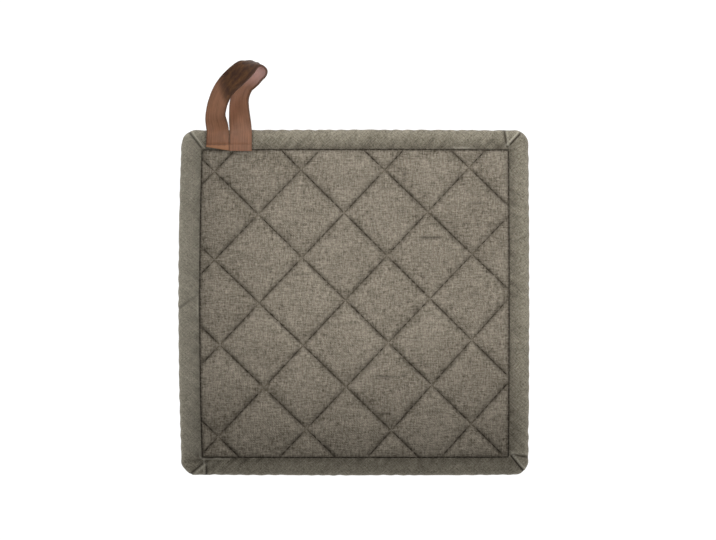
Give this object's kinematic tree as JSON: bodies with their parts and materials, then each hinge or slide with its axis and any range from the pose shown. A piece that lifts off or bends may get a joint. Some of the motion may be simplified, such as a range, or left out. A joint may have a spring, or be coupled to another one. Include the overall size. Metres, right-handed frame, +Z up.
{
  "type": "quilted pot holder with a leather hanging loop",
  "caption": "Square quilted cloth pot holder with a bound edge and a leather hanging loop near one corner, lying on its back.",
  "frame": {"origin": "middle of the outline of pad and loop together, seen from above, at the level of the surface that the pad lies on", "axes": "+X to the right along the pad's width, +Y towards the edge that carries the loop, +Z up, out of the pad's front"},
  "size_m": [0.2008, 0.2378, 0.0227],
  "materials": {
    "linen_panel": "matt linen weave, quilted",
    "linen_binding": "matt linen weave cut on the bias",
    "leather": "smooth vegetable-tanned leather with a low sheen"
  },
  "bodies": {
    "root": {"quilted_pad": "linen_panel", "binding": "linen_binding", "hanging_loop": "leather"}
  },
  "joints": []
}
